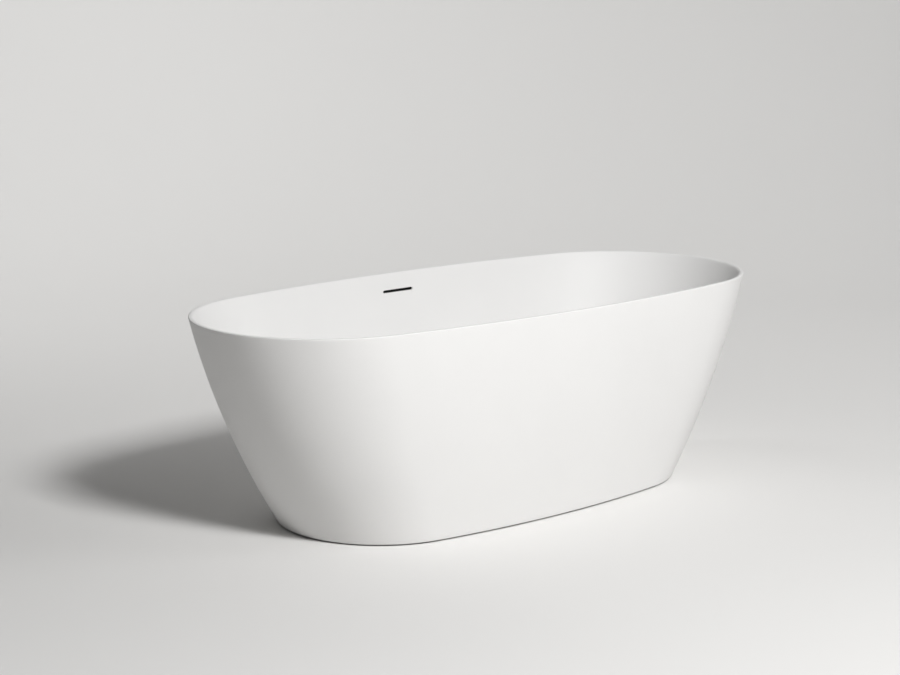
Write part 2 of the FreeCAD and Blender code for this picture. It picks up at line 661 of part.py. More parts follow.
def make_waste_flange():
    """The visible ring with its threaded spigot, and a four-armed web that carries the click cartridge."""
    body = new_body("waste_flange")
    disc(body, "Pad", "flange_radius", FLANGE_LOW, FLANGE_TOP)
    disc(body, "Pad", "spigot_radius", WEB_LOW, FLANGE_LOW)
    disc(body, "Pocket", "throat_radius", f"{WEB_LOW} - 1", f"{FLANGE_TOP} + 1")
    disc(body, "Pad", "hub_outer_radius", WEB_LOW, f"{WEB_LOW} + web_skin")
    reach, half = "(throat_radius + 1)", "(web_arm_width / 2)"
    block(body, "Pad", (f"-{reach}", reach, f"-{half}", half), WEB_LOW, f"{WEB_LOW} + web_skin")
    block(body, "Pad", (f"-{half}", half, f"-{reach}", reach), WEB_LOW, f"{WEB_LOW} + web_skin")
    disc(body, "Pocket", "cartridge_radius", f"{WEB_LOW} - 1", f"{WEB_LOW} + web_skin + 1")
    on_top, edge = at_level(FLANGE_TOP), value("flange_radius") - 1
    round_edges(body, lambda p: on_top(p) and math.hypot(p.x, p.y) > edge, "flange_skin / 3")


def make_cartridge():
    """The click mechanism's housing, its cap, and the spring that lifts the stem."""
    low, top = "cartridge_bottom", "cartridge_top"
    cap_low = f"({top} - cartridge_end_skin)"
    body = new_body("click_cartridge")
    disc(body, "Pad", "cartridge_radius", low, cap_low)
    disc(body, "Pad", "cartridge_shoulder", f"{WEB_LOW} + web_skin", f"{WEB_LOW} + 2 * web_skin")
    disc(body, "Pocket", "cartridge_bore", f"{low} + cartridge_end_skin", f"{cap_low} + 1")
    washer("cartridge_cap", "cartridge_radius", "stem_radius + stud_running_gap", cap_low, top)
    spring = new_body("waste_spring")
    start = f"({low} + cartridge_end_skin + spring_wire)"
    height = f"(piston_bottom - spring_wire - {start})"
    sketch = new_sketch(spring, "wire", "XZ_Plane", "0")
    circle(sketch, "spring_wire", ("spring_radius", start))
    doc.recompute()
    helix = spring.newObject("PartDesign::AdditiveHelix", "coil")
    helix.Profile = sketch
    helix.ReferenceAxis = (sketch, ["V_Axis"])
    helix.Mode = 0
    bind(helix, "Pitch", "spring_pitch")
    bind(helix, "Height", height)
    doc.recompute()


def make_plug():
    """The cap, its seal and the stem with the piston that the spring lifts."""
    cap_low = f"({FLANGE_TOP} + plug_seal_skin)"
    cap = new_body("plug_cap")
    disc(cap, "Pad", "plug_radius", cap_low, f"{cap_low} + plug_skin")
    disc(cap, "Pad", "plug_boss_radius", f"{cap_low} - plug_boss_depth", cap_low)
    disc(cap, "Pocket", "stem_radius", f"{cap_low} - plug_boss_depth - 1", cap_low)
    on_top = at_level(f"{cap_low} + plug_skin")
    round_edges(cap, on_top, "plug_skin / 2.5")
    washer("plug_seal", "plug_seal_outer", "plug_seal_inner", FLANGE_TOP, cap_low)
    stem = new_body("plug_stem")
    disc(stem, "Pad", "piston_radius", "piston_bottom", "piston_bottom + piston_depth")
    disc(stem, "Pad", "stem_radius", "piston_bottom", cap_low)


def make_waste_body():
    """The cup under the drain: overflow inlet on the +Y side, outlet to the trap on the -X side."""
    body = new_body("waste_body")
    disc(body, "Pad", "body_radius", "body_bottom", BODY_TOP)
    disc(body, "Pad", "body_flange_radius", f"{BODY_TOP} - body_flange_skin", BODY_TOP)
    inlet, outlet = ("0", "waste_level"), ("0", "waste_level")
    disc(body, "Pad", "inlet_radius", "0", "inlet_reach", inlet, "XZ_Plane")
    disc(body, "Pad", "outlet_radius", "-body_outlet_reach", "0", outlet, "YZ_Plane")
    disc(body, "Pocket", "body_bore", "body_bottom + body_floor_skin", f"{BODY_TOP} + 1")
    disc(body, "Pocket", "inlet_bore", "0", "inlet_reach + 1", inlet, "XZ_Plane")
    disc(body, "Pocket", "outlet_bore", "-body_outlet_reach - 1", "0", outlet, "YZ_Plane")


def make_waste_seals():
    washer("flange_seal", "flange_radius - 1", "drain_radius", RECESS, FLANGE_LOW)
    washer("body_seal", "body_flange_radius - 1", "drain_radius", BODY_TOP, UNDERSIDE)


# ---- overflow ------------------------------------------------------------------------------------------

def basin_back(level):
    """The outer face of the inner bath's wall, on the centre line."""
    return f"({inner_half_width(level)} + basin_wall)"


def skirt_front(level):
    """The inner face of the skirt, on the centre line."""
    return f"({outer_half_width(level)} - skirt_wall)"


CHAMBER_FRONT_TOP = f"({basin_back('chamber_top')} + chamber_clearance)"
CHAMBER_FRONT_LOW = f"({basin_back('chamber_bottom')} + chamber_clearance)"
CHAMBER_BACK_TOP = f"({skirt_front('chamber_top')} - chamber_clearance)"
CHAMBER_BACK_LOW = f"({skirt_front('chamber_bottom')} - chamber_clearance)"
SLOT_CUT = "(slot_height - 1)"


def make_overflow_chamber():
    """A flat box between the two skins: it takes the water from the slot down to its spigot."""
    body = new_body("overflow_chamber")
    outside = new_sketch(body, "outside", "YZ_Plane", "-chamber_half_width")
    polygon(outside, [(CHAMBER_FRONT_LOW, "chamber_bottom"), (CHAMBER_BACK_LOW, "chamber_bottom"),
                      (CHAMBER_BACK_TOP, "chamber_top"), (CHAMBER_FRONT_TOP, "chamber_top")])
    extrude(body, "Pad", outside, "2 * chamber_half_width")
    skin = "chamber_skin"
    disc(body, "Pad", "inlet_radius", "chamber_bottom - chamber_spigot_length", "chamber_bottom",
         ("0", "hose_offset"))
    inside = new_sketch(body, "inside", "YZ_Plane", f"-chamber_half_width + {skin}")
    polygon(inside, [(f"{CHAMBER_FRONT_LOW} + {skin}", f"chamber_bottom + {skin}"),
                     (f"{CHAMBER_BACK_LOW} - {skin}", f"chamber_bottom + {skin}"),
                     (f"{CHAMBER_BACK_TOP} - {skin}", f"chamber_top - {skin}"),
                     (f"{CHAMBER_FRONT_TOP} + {skin}", f"chamber_top - {skin}")])
    extrude(body, "Pocket", inside, f"2 * (chamber_half_width - {skin})", backwards=True)
    disc(body, "Pocket", "inlet_bore", "chamber_bottom - chamber_spigot_length - 1",
         f"chamber_bottom + {skin} + 1", ("0", "hose_offset"))
    cut_mouth(body, f"mouth_reach + chamber_clearance + 2 * {skin}")


def cut_mouth(body, depth):
    """The overflow slot's opening, cut away from the inner bath towards the skirt."""
    mouth = new_sketch(body, "mouth", "XZ_Plane", f"-({basin_back('slot_level')} - mouth_reach)")
    slot_outline(mouth, "slot_length", SLOT_CUT, "slot_level")
    extrude(body, "Pocket", mouth, depth)


def make_overflow_gasket():
    """A flat foam ring round the slot, between the inner bath and the chamber."""
    body = new_body("overflow_gasket")
    margin, gap = "(slot_height / 2 + gasket_margin)", "gasket_gap"
    high, low = f"(slot_level + {margin})", f"(slot_level - {margin})"
    profile = new_sketch(body, "profile", "YZ_Plane", "-slot_length / 2 - gasket_margin")
    polygon(profile, [(f"{basin_back(low)} + {gap} + gasket_slack", low),
                      (f"{basin_back(low)} + chamber_clearance - {gap}", low),
                      (f"{basin_back(high)} + chamber_clearance - {gap}", high),
                      (f"{basin_back(high)} + {gap} + gasket_slack", high)])
    extrude(body, "Pad", profile, "slot_length + 2 * gasket_margin")
    cut_mouth(body, "2 * mouth_reach")


def hose_route():
    """The hose's centre line in the YZ plane: straight, bend, straight, bend, straight."""
    start = (value("hose_offset"), value("hose_top"))
    top_radius, low_radius = value("hose_top_bend"), value("hose_low_bend")
    top_centre = (start[0] - top_radius, start[1] - value("hose_top_run"))
    low_centre = (value("hose_end + hose_low_run"), value("waste_level") + low_radius)
    across, down = top_centre[0] - low_centre[0], top_centre[1] - low_centre[1]
    lean = math.acos((low_radius - top_radius) / math.hypot(across, down)) - math.atan2(down, across)
    outward = (math.cos(lean), -math.sin(lean))
    return start, top_centre, low_centre, top_radius, low_radius, lean, outward


def make_overflow_pipe():
    """The hose from the chamber's spigot, behind the inner bath and under the rail, to the waste body."""
    body = new_body("overflow_pipe")
    start, top_centre, low_centre, top_radius, low_radius, lean, outward = hose_route()
    up = FreeCAD.Vector(0, 0, 1)
    spine = new_sketch(body, "route", "YZ_Plane", "0")
    bend_start = FreeCAD.Vector(start[0], top_centre[1], 0)
    bend_end = FreeCAD.Vector(*top_centre, 0) + FreeCAD.Vector(*outward, 0) * top_radius
    turn_start = FreeCAD.Vector(*low_centre, 0) + FreeCAD.Vector(*outward, 0) * low_radius
    turn_end = FreeCAD.Vector(low_centre[0], low_centre[1] - low_radius, 0)
    finish = FreeCAD.Vector(value("hose_end"), turn_end.y, 0)
    top_arc = Part.Circle(FreeCAD.Vector(*top_centre, 0), up, top_radius)
    low_arc = Part.Circle(FreeCAD.Vector(*low_centre, 0), up, low_radius)
    spine.addGeometry(Part.LineSegment(FreeCAD.Vector(*start, 0), bend_start), False)
    spine.addGeometry(Part.ArcOfCircle(top_arc, -lean, 0), False)
    spine.addGeometry(Part.LineSegment(bend_end, turn_start), False)
    spine.addGeometry(Part.ArcOfCircle(low_arc, -math.pi / 2, -lean), False)
    spine.addGeometry(Part.LineSegment(turn_end, finish), False)
    for joint in ((0, 2, 1, 2), (1, 1, 2, 1), (2, 2, 3, 2), (3, 1, 4, 1)):
        spine.addConstraint(Sketcher.Constraint("Tangent", *joint))
    spine.addConstraint(Sketcher.Constraint("Vertical", 0))
    spine.addConstraint(Sketcher.Constraint("Horizontal", 4))
    fix(spine, "DistanceX", (-1, 1, 0, 1), "hose_offset")
    fix(spine, "DistanceY", (-1, 1, 0, 1), "hose_top")
    fix(spine, "Distance", (0,), "hose_top_run")
    fix(spine, "Radius", (1,), "hose_top_bend")
    fix(spine, "Radius", (3,), "hose_low_bend")
    fix(spine, "DistanceX", (-1, 1, 4, 2), "hose_end")
    fix(spine, "DistanceY", (-1, 1, 4, 2), "waste_level")
    fix(spine, "Distance", (4,), "hose_low_run")
    section = new_sketch(body, "section", "XY_Plane", "hose_top")
    circle(section, "hose_radius", ("0", "hose_offset"))
    circle(section, "inlet_radius", ("0", "hose_offset"))
    doc.recompute()
    pipe = body.newObject("PartDesign::AdditivePipe", "hose")
    pipe.Profile = section
    pipe.Spine = (spine, [f"Edge{index}" for index in range(1, 6)])
    doc.recompute()
    length = spine.Shape.Length
    expected = length * math.pi * (value("hose_radius") ** 2 - value("inlet_radius") ** 2)
    print(f"overflow pipe: length {length:.1f} mm, bends {top_radius:.0f} and {low_radius:.0f} mm, "
          f"volume {body.Shape.Volume:.0f}, expected {expected:.0f}")


def make_hose_clamps():
    """A band round each end of the hose."""
    outer, inner = "hose_radius + clamp_skin", "hose_radius"
    high = "(hose_top - clamp_inset)"
    washer("hose_clamp_top", outer, inner, f"{high} - clamp_width", high, ("0", "hose_offset"))
    near = "(hose_end + clamp_inset)"
    washer("hose_clamp_bottom", outer, inner, near, f"{near} + clamp_width", ("0", "waste_level"), "XZ_Plane")


# ---- drum trap -----------------------------------------------------------------------------------------

AXIS = ("0", "waste_level")
DRUM_SPOT = ("-drum_centre", "0")


def make_trap():
    """A drum that holds the water seal: a collar towards the waste body and, opposite, the outlet spigot."""
    drum = new_body("trap_drum")
    disc(drum, "Pad", "drum_radius", "drum_bottom", "drum_top", DRUM_SPOT)
    disc(drum, "Pad", "collar_radius", "-drum_centre", "-collar_reach", AXIS, "YZ_Plane")
    disc(drum, "Pad", "outlet_radius", "-trap_outlet_reach", "-drum_centre", AXIS, "YZ_Plane")
    disc(drum, "Pad", "outlet_radius + outlet_stop_skin", "-outlet_stop", "-outlet_stop + outlet_stop_skin",
         AXIS, "YZ_Plane")
    disc(drum, "Pocket", "drum_radius - drum_skin", "drum_bottom + drum_skin", "drum_top + 1", DRUM_SPOT)
    disc(drum, "Pocket", "collar_bore", "-drum_centre", "-collar_reach + 1", AXIS, "YZ_Plane")
    disc(drum, "Pocket", "outlet_bore", "-trap_outlet_reach - 1", "-drum_centre", AXIS, "YZ_Plane")
    lid = new_body("trap_lid")
    disc(lid, "Pad", "lid_radius", "drum_top", "drum_top + lid_skin", DRUM_SPOT)
    disc(lid, "Pad", "drum_radius - drum_skin - 2 * lid_seal_wire", "drum_top - lid_skin", "drum_top",
         DRUM_SPOT)
    washer("trap_lid_seal", "drum_radius - drum_skin", "drum_radius - drum_skin - 2 * lid_seal_wire",
           "drum_top - 2 * lid_seal_wire", "drum_top", DRUM_SPOT)
    baffle = new_body("trap_baffle")
    half = "(drum_radius - drum_skin - baffle_gap)"
    block(baffle, "Pad", (f"-{half}", half, "drum_bottom + baffle_lift", "drum_top - lid_skin"),
          "-drum_centre - baffle_skin / 2", "-drum_centre + baffle_skin / 2", "YZ_Plane")


def make_trap_union():
    """The nut and seal that join the waste body's outlet to the trap's collar."""
    seal_far = "(-collar_reach + union_seal_skin)"
    washer("trap_union_seal", "collar_radius", "outlet_radius", "-collar_reach", seal_far, AXIS, "YZ_Plane")
    nut = new_body("trap_union_nut")
    end = f"({seal_far} + union_nut_end)"
    disc(nut, "Pad", "collar_radius + nut_wall", f"{end} - union_nut_length", end, AXIS, "YZ_Plane")
    disc(nut, "Pocket", "collar_radius", f"{end} - union_nut_length - 1", seal_far, AXIS, "YZ_Plane")
    disc(nut, "Pocket", "outlet_radius + nut_clearance", f"{seal_far} - 1", f"{end} + 1", AXIS, "YZ_Plane")


# ---- the whole bath ------------------------------------------------------------------------------------

def make_all():
    make_outer_skirt()
    make_basin_shell()
    make_base_board()
    make_rail("frame_rail_front", -1)
    make_rail("frame_rail_back", 1)
    make_crossbar("frame_crossbar_left", -1)
    make_crossbar("frame_crossbar_right", 1)
    make_tube_end_caps()
    make_board_screws()
    make_brackets()
    make_foot_hardware()
    for name, end, side in FEET:
        make_foot(name, end, side)
    make_waste_flange()
    make_cartridge()
    make_plug()
    make_waste_body()
    make_waste_seals()
    make_overflow_chamber()
    make_overflow_gasket()
    make_overflow_pipe()
    make_hose_clamps()
    make_trap()
    make_trap_union()
    doc.recompute()


def check_all():
    for item in doc.Objects:
        if {"Invalid", "Error"} & set(item.State):
            raise ValueError(f"{item.Name} failed: {item.State}")
    for piece in pieces:
        if piece.Shape.isNull() or not piece.Shape.isValid():
            raise ValueError(f"{piece.Label} has no valid shape")


def write_all():
    os.makedirs("parts", exist_ok=True)
    for piece in pieces:
        piece.Shape.exportStep(f"parts/{piece.Label}.step")
        print(f"{piece.Label}: {len(piece.Shape.Solids)} solid(s), {piece.Shape.Volume:.0f} mm3")


make_all()
check_all()
write_all()
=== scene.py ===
import json
import math

import bmesh
import bpy
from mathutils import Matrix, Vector


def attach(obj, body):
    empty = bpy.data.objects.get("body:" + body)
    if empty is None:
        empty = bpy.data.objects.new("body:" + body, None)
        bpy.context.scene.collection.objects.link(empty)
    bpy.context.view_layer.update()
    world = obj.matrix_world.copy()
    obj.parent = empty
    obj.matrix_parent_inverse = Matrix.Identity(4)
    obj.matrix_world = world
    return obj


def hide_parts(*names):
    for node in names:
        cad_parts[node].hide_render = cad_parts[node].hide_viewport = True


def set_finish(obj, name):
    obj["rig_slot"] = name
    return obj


# Freestanding bath: fine meshes for its two shells and its hose, materials for every piece, light and
# camera.
# Metres. +X runs along the bath, +Y towards the overflow side, +Z up.

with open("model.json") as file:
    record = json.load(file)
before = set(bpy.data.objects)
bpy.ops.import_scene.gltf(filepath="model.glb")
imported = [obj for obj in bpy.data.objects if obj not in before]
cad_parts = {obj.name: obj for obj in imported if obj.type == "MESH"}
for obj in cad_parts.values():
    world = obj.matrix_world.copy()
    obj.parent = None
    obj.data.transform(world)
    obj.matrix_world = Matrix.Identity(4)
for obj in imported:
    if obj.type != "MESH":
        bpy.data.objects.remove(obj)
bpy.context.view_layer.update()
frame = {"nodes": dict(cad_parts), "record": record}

MM = 0.001
QUARTER = math.pi / 2

# ---- sizes of the two shells, the same design as the CAD pieces --------------------------------------

RIM_HEIGHT = 580 * MM
GAP = 4 * MM
FLOOR_HEIGHT = 140 * MM
RIM_OVAL = (900 * MM, 400 * MM, 358 * MM)  # half-length, half-width, end radius
BASE_OVAL = (648 * MM, 316 * MM, 289 * MM)
FLOOR_OVAL = (585 * MM, 235 * MM, 210 * MM)
RIM_WIDTH = 12 * MM
OUTER_BULGE = 0.4
BASIN_BULGE = 0.05
SKIRT_WALL = 4.5 * MM
LIP_DEPTH = 10 * MM
OUTER_ROUND = 3 * MM
INNER_ROUND = 5 * MM
BASE_ROUND = 1.5 * MM
BASIN_WALL = 6 * MM
FLOOR_SKIN = 8 * MM
FLOOR_ROUND = 85 * MM
RECESS_RADIUS = 40 * MM
RECESS_DEPTH = 4 * MM
RECESS_ROUND = 1 * MM
DRAIN_RADIUS = 26 * MM
SLOT_HALF_LENGTH = 55 * MM
SLOT_HALF_HEIGHT = 4 * MM
SLOT_LEVEL = 529 * MM
SLOT_ROUND = 1 * MM

# the overflow hose, whose centre line lies in the YZ plane
HOSE_RADIUS = 14 * MM
HOSE_OFFSET = 360.3 * MM
HOSE_TOP = 432 * MM
HOSE_TOP_RUN = 24 * MM
HOSE_TOP_BEND = 150 * MM
HOSE_LOW_BEND = 85 * MM
HOSE_LOW_RUN = 130 * MM
HOSE_END = 40 * MM
WASTE_LEVEL = 70 * MM
HOSE_WALL = 3 * MM
HOSE_STEP = 1.25 * MM
HOSE_CUFF = 22 * MM
HOSE_RIB_PITCH = 5 * MM
HOSE_RIB_DEPTH = 1.8 * MM

# mesh density
ARC_STEPS = 64  # columns in half an end arc, and in half a side arc
WALL_ROWS = 24  # rows of the inner wall below the slot's patch
TOP_ROWS = 3  # rows of it above the patch
SLOT_COLUMNS = 8  # columns each side of the slot's middle that its patch takes up
SLOT_ROWS = 8
SLOT_PATCH = 14 * MM  # half the height of the patch


# ---- camera and light: the photo's angle, fitted to the bath's outline -------------------------------

CAMERA_PLACE = (-3.668, -4.124, 1.536)
CAMERA_HEADING = 0.7105  # from +Y towards +X
CAMERA_PITCH = 11.19  # degrees below level
CAMERA_LENS = 80.9
WORLD_GLOW = 0.01  # how brightly the room beyond the sheet lights the bath
WORLD_SEEN = 0.45  # how bright that room looks, and is in reflections
BACKDROP_COLOR = (0.77, 0.763, 0.75)


# ---- outlines -----------------------------------------------------------------------------------------

def blend(low, high, share):
    return tuple(a + (b - a) * share for a, b in zip(low, high))


def widened(oval, growth):
    return tuple(size + growth for size in oval)


def outer_oval(level, growth=0.0):
    """Half-length, half-width and end radius of the outside of the bath, or of a parallel of it."""
    share = (level - GAP) / (RIM_HEIGHT - GAP)
    return widened(blend(BASE_OVAL, RIM_OVAL, share + OUTER_BULGE * share * (1 - share)), growth)


def inner_oval(level, growth=0.0):
    """The same for the inside wall of the bath."""
    share = (level - FLOOR_HEIGHT) / (RIM_HEIGHT - FLOOR_HEIGHT)
    rim = widened(RIM_OVAL, -RIM_WIDTH)
    return widened(blend(FLOOR_OVAL, rim, share + BASIN_BULGE * share * (1 - share)), growth)


def side_radius(oval):
    length, width, end = oval
    return ((length - end) ** 2 + width ** 2 - end ** 2) / (2 * (width - end))


def ring(oval, level):
    """Points round a four-arc oval, with the same count on every arc at every level."""
    length, width, end = oval
    centre, side = length - end, side_radius(oval)
    turn = math.atan2(side - width, centre)
    quarter = []
    for step in range(ARC_STEPS):
        angle = turn * step / ARC_STEPS
        quarter.append((centre + end * math.cos(angle), end * math.sin(angle)))
    for step in range(ARC_STEPS):
        angle = turn + (math.pi / 2 - turn) * step / ARC_STEPS
        quarter.append((side * math.cos(angle), width - side + side * math.sin(angle)))
    points = quarter + [(0.0, width)] + [(-x, y) for x, y in reversed(quarter[1:])]
    points += [(-x, -y) for x, y in points]
    return [Vector((x, y, level)) for x, y in points]


def round_ring(radius, level):
    """Points round a circle, one for each point of a ring of the wall."""
    wall = ring(inner_oval(FLOOR_HEIGHT), 0.0)
    return [p.normalized() * radius + Vector((0, 0, level)) for p in wall]


def between(low, high, steps):
    """Values from low to high, both included."""
    return [low + (high - low) * step / steps for step in range(steps + 1)]


def ring_steps(first, last, steps):
    """Rings spread evenly between two rings, both left out."""
    return [[a.lerp(b, share) for a, b in zip(first, last)] for share in between(0, 1, steps)[1:-1]]


# ---- meshes -------------------------------------------------------------------------------------------

def new_object(name, bm, body, slot, sharp_angle=35):
    """A piece from a mesh in the making, riding on a body and finished from a slot."""
    bmesh.ops.recalc_face_normals(bm, faces=bm.faces)
    for face in bm.faces:
        face.smooth = True
    mesh = bpy.data.meshes.new(name)
    bm.to_mesh(mesh)
    bm.free()
    mesh.set_sharp_from_angle(angle=math.radians(sharp_angle))
    obj = bpy.data.objects.new(name, mesh)
    bpy.context.scene.collection.objects.link(obj)
    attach(obj, body)
    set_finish(obj, slot)
    return obj


def ring_mesh(rings, left_out=()):
    """Quads through a closed run of rings, without the (ring, column) cells left out."""
    bm = bmesh.new()
    made = [[bm.verts.new(p) for p in points] for points in rings]
    for row, low in enumerate(made):
        high = made[(row + 1) % len(made)]
        for column in range(len(low)):
            if (row, column) in left_out:
                continue
            after = (column + 1) % len(low)
            bm.faces.new((low[column], low[after], high[after], high[column]))
    return bm, made


def join_loops(bm, first, second):
    for index in range(len(first)):
        after = (index + 1) % len(first)
        bm.faces.new((first[index], first[after], second[after], second[index]))


def make_skirt():
    """The outer shell: a leaning wall with a crisp lower edge over the shadow gap."""
    top = RIM_HEIGHT - LIP_DEPTH
    rings = []
    for angle in between(0, QUARTER, 4):
        level = GAP + BASE_ROUND * (1 - math.cos(angle))
        rings.append(ring(outer_oval(level, -BASE_ROUND * (1 - math.sin(angle))), level))
    for level in between(GAP + BASE_ROUND, top, 30)[1:]:
        rings.append(ring(outer_oval(level), level))
    for level in between(top, GAP, 30):
        rings.append(ring(outer_oval(level, -SKIRT_WALL), level))
    bm, _ = ring_mesh(rings)
    skirt = new_object("skirt_shell", bm, "root", "shell_white")
    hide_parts("outer_skirt")
    return skirt


def slot_point(x, z, growth, depth):
    """The point of the slot's outline, widened by growth, that faces a point of the back wall."""
    straight = SLOT_HALF_LENGTH - SLOT_HALF_HEIGHT
    radius = SLOT_HALF_HEIGHT + growth
    middle = max(-straight, min(straight, x))
    away = Vector((x - middle, z - SLOT_LEVEL)).normalized() * radius
    x, z = middle + away.x, SLOT_LEVEL + away.y
    oval = inner_oval(z, depth)
    side = side_radius(oval)
    return Vector((x, oval[1] - side + math.sqrt(side ** 2 - x ** 2), z))


def patch_edge(rows, made):
    """The vertices round the slot's patch, in order, where rows are its ring numbers."""
    middle = 2 * ARC_STEPS
    first, last = middle - SLOT_COLUMNS, middle + SLOT_COLUMNS
    edge = [made[rows[0]][column] for column in range(first, last)]
    edge += [made[row][last] for row in rows[:-1]]
    edge += [made[rows[-1]][column] for column in range(last, first, -1)]
    edge += [made[row][first] for row in reversed(rows[1:])]
    return edge


def wall_levels(bottom, top):
    """Levels up the wall, with the slot's patch between two of them."""
    low, high = SLOT_LEVEL - SLOT_PATCH, SLOT_LEVEL + SLOT_PATCH
    levels = between(bottom, low, WALL_ROWS)
    levels += between(low, high, SLOT_ROWS)[1:]
    levels += between(high, top, TOP_ROWS)[1:]
    return levels


def make_basin():
    """The inner bath in one skin: underside, lip, rim, wall, floor, recess and drain hole."""
    round_top, underside = FLOOR_HEIGHT + FLOOR_ROUND, FLOOR_HEIGHT - FLOOR_SKIN
    lip_low = RIM_HEIGHT - LIP_DEPTH
    rings = [round_ring(DRAIN_RADIUS, underside)]
    outline = ring(inner_oval(underside, -FLOOR_ROUND), underside)
    rings += ring_steps(rings[0], outline, 5)
    for angle in between(0, QUARTER, 10):
        level = round_top - (FLOOR_ROUND + FLOOR_SKIN) * math.cos(angle)
        growth = BASIN_WALL - (FLOOR_ROUND + BASIN_WALL) * (1 - math.sin(angle))
        rings.append(ring(inner_oval(level, growth), level))
    back_start = len(rings) - 1
    for level in wall_levels(round_top, lip_low)[1:]:
        rings.append(ring(inner_oval(level, BASIN_WALL), level))
    rings.append(ring(outer_oval(lip_low), lip_low))
    for angle in between(0, QUARTER, 6):
        level = RIM_HEIGHT - OUTER_ROUND * (1 - math.sin(angle))
        rings.append(ring(outer_oval(level, -OUTER_ROUND * (1 - math.cos(angle))), level))
    for angle in between(QUARTER, 0, 6):
        level = RIM_HEIGHT - INNER_ROUND * (1 - math.sin(angle))
        rings.append(ring(inner_oval(level, INNER_ROUND * (1 - math.cos(angle))), level))
    front_start = len(rings) - 1
    for level in reversed(wall_levels(round_top, RIM_HEIGHT - INNER_ROUND)[:-1]):
        rings.append(ring(inner_oval(level), level))
    for angle in between(QUARTER, 0, 12)[1:]:
        level = round_top - FLOOR_ROUND * math.cos(angle)
        rings.append(ring(inner_oval(level, -FLOOR_ROUND * (1 - math.sin(angle))), level))
    recess_edge = round_ring(RECESS_RADIUS + RECESS_ROUND, FLOOR_HEIGHT)
    rings += ring_steps(rings[-1], recess_edge, 8)
    for angle in between(0, QUARTER, 3):
        rings.append(round_ring(RECESS_RADIUS + RECESS_ROUND * (1 - math.sin(angle)),
                                FLOOR_HEIGHT - RECESS_ROUND * (1 - math.cos(angle))))
    rings.append(round_ring(RECESS_RADIUS, FLOOR_HEIGHT - RECESS_DEPTH))
    rings.append(round_ring(DRAIN_RADIUS, FLOOR_HEIGHT - RECESS_DEPTH))

    back_low, front_high = back_start + WALL_ROWS, front_start + TOP_ROWS
    back_rows = list(range(back_low, back_low + SLOT_ROWS + 1))
    front_rows = list(range(front_high, front_high + SLOT_ROWS + 1))
    columns = range(2 * ARC_STEPS - SLOT_COLUMNS, 2 * ARC_STEPS + SLOT_COLUMNS)
    left_out = {(row, column) for rows in (back_rows, front_rows) for row in rows[:-1]
                for column in columns}
    bm, made = ring_mesh(rings, left_out)
    cut_slot(bm, patch_edge(front_rows, made), patch_edge(list(reversed(back_rows)), made))
    basin = new_object("basin_inner", bm, "root", "shell_white")
    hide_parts("basin_shell")
    return basin


def cut_slot(bm, front_edge, back_edge):
    """The overflow slot through the back wall, its edge rounded on the bather's side."""
    places = [(vertex.co.x, vertex.co.z) for vertex in front_edge]
    stages = [(SLOT_ROUND * (1 - math.sin(angle)), SLOT_ROUND * (1 - math.cos(angle)))
              for angle in between(0, QUARTER, 4)]
    stages.append((0.0, BASIN_WALL))
    before = front_edge
    for growth, depth in stages:
        loop = [bm.verts.new(slot_point(x, z, growth, depth)) for x, z in places]
        join_loops(bm, before, loop)
        before = loop
    join_loops(bm, before, back_edge)


def hose_path():
    """Places along the overflow hose's centre line in the YZ plane, with the way out from the hose there."""
    low_centre = (HOSE_END + HOSE_LOW_RUN, WASTE_LEVEL + HOSE_LOW_BEND)
    top_centre = (HOSE_OFFSET - HOSE_TOP_BEND, HOSE_TOP - HOSE_TOP_RUN)
    across, down = top_centre[0] - low_centre[0], top_centre[1] - low_centre[1]
    lean = math.acos((HOSE_LOW_BEND - HOSE_TOP_BEND) / math.hypot(across, down)) - math.atan2(down, across)
    stages = [((HOSE_OFFSET, HOSE_TOP), 0.0)]
    for centre, radius, first, last in ((top_centre, HOSE_TOP_BEND, 0.0, lean),
                                        (low_centre, HOSE_LOW_BEND, lean, QUARTER)):
        stages += [((centre[0] + radius * math.cos(turn), centre[1] - radius * math.sin(turn)), turn)
                   for turn in between(first, last, 40)]
    stages.append(((HOSE_END, WASTE_LEVEL), QUARTER))
    places = []
    for (start, start_turn), (end, end_turn) in zip(stages, stages[1:]):
        length = math.dist(start, end)
        count = max(1, round(length / HOSE_STEP))
        for share in between(0, 1, count)[:-1]:
            places.append((*blend(start, end, share), start_turn + (end_turn - start_turn) * share))
    return places + [(HOSE_END, WASTE_LEVEL, QUARTER)]


def hose_ring(y, z, turn, radius):
    out = Vector((0, math.cos(turn), -math.sin(turn)))
    side = Vector((1, 0, 0))
    return [Vector((0, y, z)) + (out * math.cos(angle) + side * math.sin(angle)) * radius
            for angle in between(0, 2 * math.pi, 24)[:-1]]


def make_hose():
    """The corrugated overflow hose, with a smooth cuff at each end for its clamps."""
    path = hose_path()
    total = sum(math.dist(a[:2], b[:2]) for a, b in zip(path, path[1:]))
    outside, inside = [], []
    walked, before = 0.0, path[0]
    for y, z, turn in path:
        walked += math.dist((y, z), before[:2])
        before = (y, z, turn)
        depth = 0.0
        if HOSE_CUFF < walked < total - HOSE_CUFF:
            wave = math.cos(2 * math.pi * (walked - HOSE_CUFF) / HOSE_RIB_PITCH)
            depth = HOSE_RIB_DEPTH * (1 - wave) / 2
        outside.append(hose_ring(y, z, turn, HOSE_RADIUS - depth))
        inside.append(hose_ring(y, z, turn, HOSE_RADIUS - HOSE_WALL))
    bm, _ = ring_mesh(outside + inside[::-1])
    hose = new_object("corrugated_hose", bm, "root", "grey_hose", 60)
    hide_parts("overflow_pipe")
    return hose


# ---- materials ----------------------------------------------------------------------------------------

